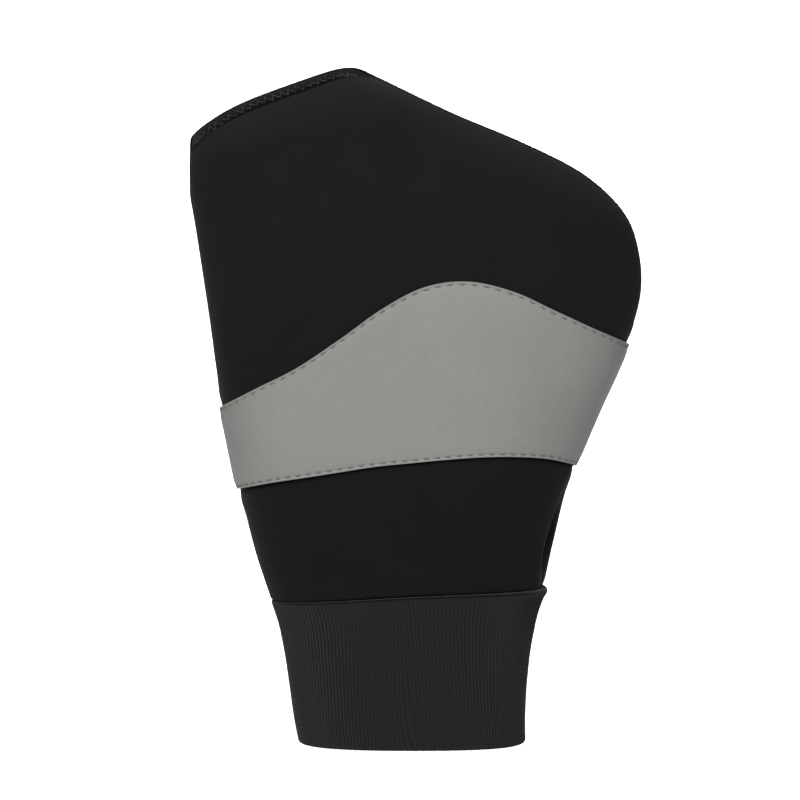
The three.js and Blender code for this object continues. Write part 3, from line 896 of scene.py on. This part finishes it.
def knit_cuff(columns_per_rib=7, middle_rows=17):
    """The ribbed cuff: raised ribs that run up from the folded rim to a rolled top under the seam."""
    turn, _ = even_turns(cuff_face, rise=0.5, count=RIBS * columns_per_rib + 1)
    seam = CUFF_HEIGHT
    rim_rows = edge_steps(CUFF_RIM_ROLL)
    seam_rows = seam - np.array(SEAM_ROWS)
    middle = np.linspace(rim_rows[-1], seam_rows[0], middle_rows)[1:-1]
    up = np.concatenate([rim_rows, middle, seam_rows])[:, None]
    down = seam - up
    share = np.linspace(0, 1, len(turn))
    around = 2 * math.pi * share
    phase = RIBS * share + waves(RIB_WAVES, around, up)
    ridge = (0.5 + 0.5 * np.cos(2 * math.pi * phase)) ** RIB_POWER
    gathered = np.clip(1 - down / CUFF_TOP_HEIGHT, 0, 1)
    ribs = RIB_RELIEF * (ridge * (1 - RIB_PRESS * gathered) - 0.5)
    bulge_at, bulge_reach = CUFF_TOP_BULGE_AT * CUFF_TOP_HEIGHT, CUFF_TOP_BULGE_REACH * CUFF_TOP_HEIGHT
    bulge = CUFF_TOP_BULGE * bump(down, bulge_at, bulge_reach) * to_right(turn)
    slack = np.sin(math.pi * up / seam) * waves(CUFF_WAVES, around, up)
    roll = rolled(up, CUFF_RIM_ROLL) + rolled(down, CUFF_TOP_ROLL)
    outer = roll - ribs - bulge - slack
    edge = np.minimum(up, down) < ON_EDGE
    inner = np.where(edge, outer, CUFF_WALL - roll + RIB_INSIDE * ribs)
    open_rise = np.broadcast_to(up / seam, outer[:, :-1].shape)
    open_turn = np.broadcast_to(turn[:-1], open_rise.shape)
    faces = [under(cuff_face, open_turn, open_rise, depth[:, :-1]) for depth in (outer, inner)]
    for points in faces:
        points[..., 2] -= CUFF_RIM_DROP * (1 - open_rise) ** 2
    places = np.stack(np.meshgrid(share, up), axis=-1)
    return wall_object("knit_cuff_ribbed", *faces, places, ring=True)


def make_mitt():
    """All the pieces, their materials and the flat sizes of the cloth."""
    softshell = softshell_material()
    front = finish_piece(panel("back_hand_cloth", math.pi), softshell, "softshell", "back_hand_panel")
    back = finish_piece(panel("palm_cloth", 0.0), softshell, "softshell", "palm_panel")
    band = finish_piece(knuckle_band(), band_material(), "band_leather", "knuckle_band")
    band_thread = thread_material("band_thread", (0.16, 0.155, 0.148), (0.215, 0.209, 0.2), uneven=0.0004)
    stitches = finish_piece(band_stitches(), band_thread, "band_leather")
    # the hem's tape is this cloth 1.6 times paler: painted light for the strip inside the mouth
    finish_piece(mouth_hem(), softshell_material("hem_cloth", tone=1.6), "hem_tape", "mouth_hem")
    zigzag_thread = thread_material("zigzag_thread", (0.02, 0.02, 0.021), (0.1, 0.1, 0.103), uneven=0.0016)
    finish_piece(hem_zigzag(), zigzag_thread, "hem_tape")
    cuff = finish_piece(knit_cuff(), rib_knit_material(), "rib_knit", "knit_cuff")


def make_camera():
    """A distant camera at the photograph's angle, with the photograph's frame round the mitt."""
    data = bpy.data.cameras.new("camera")
    data.sensor_width = 36
    data.lens = data.sensor_width * CAMERA_DISTANCE / (PHOTO_SIDE * PIXEL)
    data.clip_end = 60
    camera = bpy.data.objects.new("camera", data)
    bpy.context.scene.collection.objects.link(camera)
    across = (PHOTO_SIDE / 2 - AXIS_COLUMN) * PIXEL
    up = (RIM_ROW - PHOTO_SIDE / 2) * PIXEL / math.cos(CAMERA_ELEVATION)
    back = Vector((0, -math.cos(CAMERA_ELEVATION), math.sin(CAMERA_ELEVATION)))
    camera.location = Vector((across, 0, up)) + back * CAMERA_DISTANCE
    camera.rotation_euler = (math.pi / 2 - CAMERA_ELEVATION, 0, 0)
    bpy.context.scene.camera = camera


def make_light(name, place, target, size, spread, power):
    """A soft oblong lamp at a place, turned to a target. spread is the angle of its beam, in degrees."""
    data = bpy.data.lights.new(name, "AREA")
    data.shape = "RECTANGLE"
    data.size, data.size_y = size
    data.spread = math.radians(spread)
    data.energy = power
    lamp = bpy.data.objects.new(name, data)
    lamp.location = place
    lamp.rotation_euler = (Vector(target) - Vector(place)).to_track_quat("-Z", "Y").to_euler()
    bpy.context.scene.collection.objects.link(lamp)


def make_studio(reach=12):
    """A plain floor, a faint light all round, a soft key light, and one for the floor behind the mitt."""
    corners = np.array([(-reach, -reach), (reach, -reach), (reach, reach), (-reach, reach)], float)
    points = np.concatenate([corners, np.full((4, 1), -FLOOR_DROP)], axis=1)
    floor = mesh_object("studio_floor", points, np.array([[0, 1, 2, 3]]))
    floor.data.materials.append(floor_material())
    world = bpy.data.worlds.new("studio_air")
    world.use_nodes = True
    air = world.node_tree.nodes["Background"]
    air.inputs["Color"].default_value = (1, 1, 1, 1)
    air.inputs["Strength"].default_value = 0.1
    bpy.context.scene.world = world
    make_light("key", (-0.25, -1.6, 0.91), target=(0, 0, 0.12), size=(0.8, 0.8), spread=60, power=3.63)
    make_light("floor_wash", (0, 1.65, 1.3), target=(0, 1.65, 0), size=(0.7, 2.6), spread=70, power=24)
    bpy.context.scene.view_settings.view_transform = "Standard"


make_camera()
make_mitt()
make_studio()
